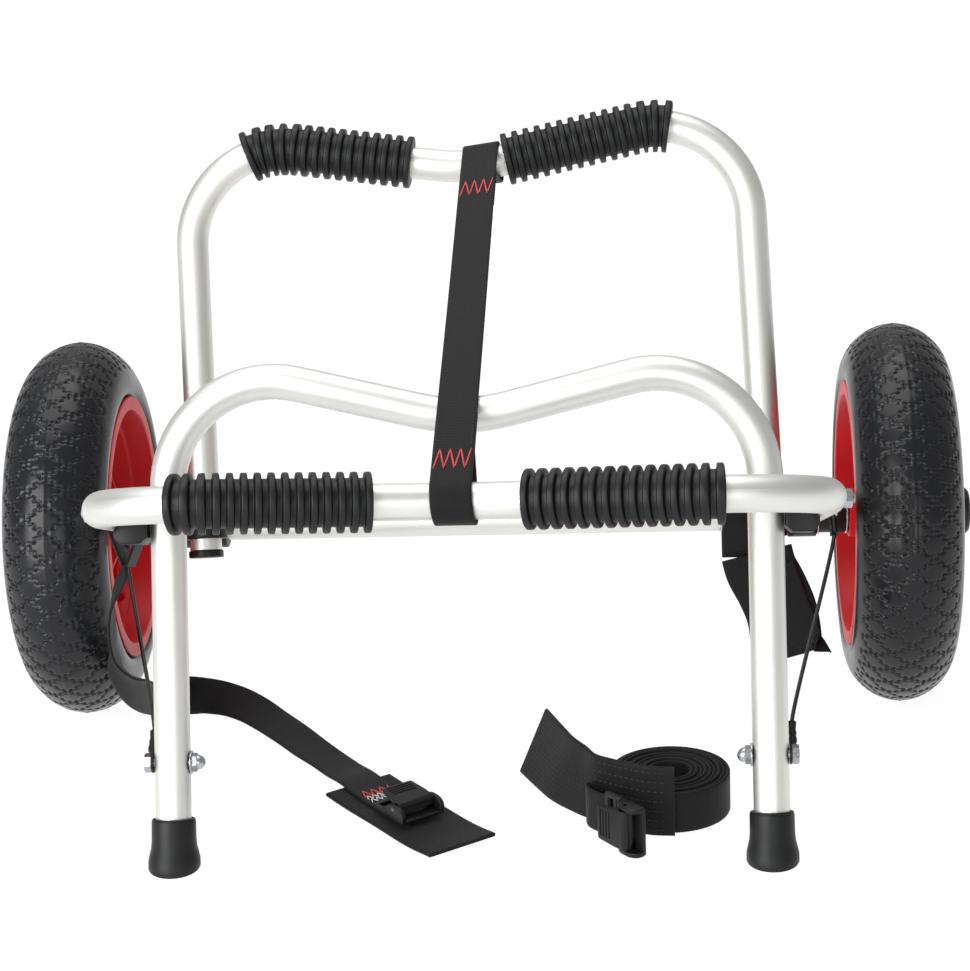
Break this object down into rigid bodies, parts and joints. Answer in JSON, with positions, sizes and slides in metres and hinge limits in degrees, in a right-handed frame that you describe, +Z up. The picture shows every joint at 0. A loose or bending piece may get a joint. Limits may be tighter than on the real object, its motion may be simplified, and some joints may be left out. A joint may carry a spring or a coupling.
{
  "type": "folding kayak cart",
  "caption": "Folding two-wheel cart that carries a kayak on two dipped cradle bars with ribbed grips, a drop-down stand, a centre strap and tie straps.",
  "frame": {"origin": "on the ground under the middle of the bounding box", "axes": "+X to the right along the axle, +Y from the stand towards the fixed rear cradle, +Z up"},
  "size_m": [0.6654, 0.4396, 0.4081],
  "materials": {
    "aluminium": "satin anodised tube",
    "steel": "zinc-plated, bright",
    "grip_rubber": "matt ribbed rubber",
    "black_plastic": "moulded nylon",
    "tyre_rubber": "block tread",
    "red_plastic": "moulded, semi-gloss",
    "webbing": "woven polypropylene webbing",
    "wire_jacket": "plastic-coated wire rope"
  },
  "bodies": {
    "axle_frame": {"axle_tube": "aluminium", "right_frame_washer": "steel", "left_frame_washer": "steel", "right_axle_spacer": "black_plastic", "left_axle_spacer": "black_plastic", "right_hub_washer": "steel", "left_hub_washer": "steel", "right_hub_cap": "black_plastic", "left_hub_cap": "black_plastic", "right_rear_collar": "black_plastic", "left_rear_collar": "black_plastic", "right_rear_leg_cap": "black_plastic", "left_rear_leg_cap": "black_plastic", "right_rear_grip": "grip_rubber", "left_rear_grip": "grip_rubber", "rear_frame": "aluminium", "spreader_strap": "webbing", "left_strap_hanging": "webbing", "left_strap_lying": "webbing", "left_strap_pad": "webbing", "left_buckle_frame": "black_plastic", "left_buckle_pin": "steel", "right_strap_loop": "webbing", "right_strap_pad": "webbing", "right_strap_tail": "webbing"},
    "front_frame": {"front_frame": "aluminium", "right_front_collar": "black_plastic", "left_front_collar": "black_plastic", "right_front_grip": "grip_rubber", "left_front_grip": "grip_rubber", "right_pivot_block": "black_plastic", "left_pivot_block": "black_plastic", "right_pivot_bolt": "steel", "left_pivot_bolt": "steel", "right_anchor_bolt": "steel", "left_anchor_bolt": "steel", "right_upper_lanyard_end": "black_plastic", "left_upper_lanyard_end": "black_plastic", "right_lanyard": "wire_jacket", "left_lanyard": "wire_jacket", "left_strap_loop": "webbing"},
    "stand": {"stand_frame": "aluminium", "right_stand_foot": "grip_rubber", "left_stand_foot": "grip_rubber", "right_leg_bolt": "steel", "left_leg_bolt": "steel", "right_lower_lanyard_end": "black_plastic", "left_lower_lanyard_end": "black_plastic"},
    "right_wheel": {"right_tyre": "tyre_rubber", "right_rim": "red_plastic", "right_wheel_bush": "black_plastic"},
    "left_wheel": {"left_tyre": "tyre_rubber", "left_rim": "red_plastic", "left_wheel_bush": "black_plastic"},
    "left_buckle_lever": {"left_buckle_lever": "black_plastic"},
    "loose_strap": {"coil_strap": "webbing", "coil_pad": "webbing", "coil_buckle_frame": "black_plastic", "coil_buckle_pin": "steel"},
    "coil_buckle_lever": {"coil_buckle_lever": "black_plastic"}
  },
  "joints": [
    {"name": "front_fold", "type": "hinge", "parent": "axle_frame", "child": "front_frame", "pos_m": [0, 0.09076, 0.13], "axis": [-1, 0, 0], "range_deg": [0, 57], "deforming": ["spreader_strap", "left_strap_hanging"]},
    {"name": "stand_fold", "type": "hinge", "parent": "front_frame", "child": "stand", "pos_m": [0, -0.11871, 0.20707], "axis": [1, 0, 0], "range_deg": [0, 60], "deforming": ["right_lanyard", "left_lanyard", "spreader_strap"]},
    {"name": "right_wheel_spin", "type": "hinge", "parent": "axle_frame", "child": "right_wheel", "pos_m": [0.2823, 0.09076, 0.13], "axis": [1, 0, 0], "continuous": true},
    {"name": "left_wheel_spin", "type": "hinge", "parent": "axle_frame", "child": "left_wheel", "pos_m": [-0.2823, 0.09076, 0.13], "axis": [1, 0, 0], "continuous": true},
    {"name": "left_buckle_open", "type": "hinge", "parent": "axle_frame", "child": "left_buckle_lever", "pos_m": [-0.0395, -0.12461, 0.0128], "axis": [0.7915, 0.6112, 0], "range_deg": [0, 75]},
    {"name": "loose_strap_lift", "type": "slide", "parent": "axle_frame", "child": "loose_strap", "axis": [0, 0, 1], "range_m": [0, 0.08]},
    {"name": "coil_buckle_open", "type": "hinge", "parent": "loose_strap", "child": "coil_buckle_lever", "pos_m": [0.09366, -0.17435, 0.0164], "axis": [0, 0, 1], "range_deg": [0, 75]}
  ]
}
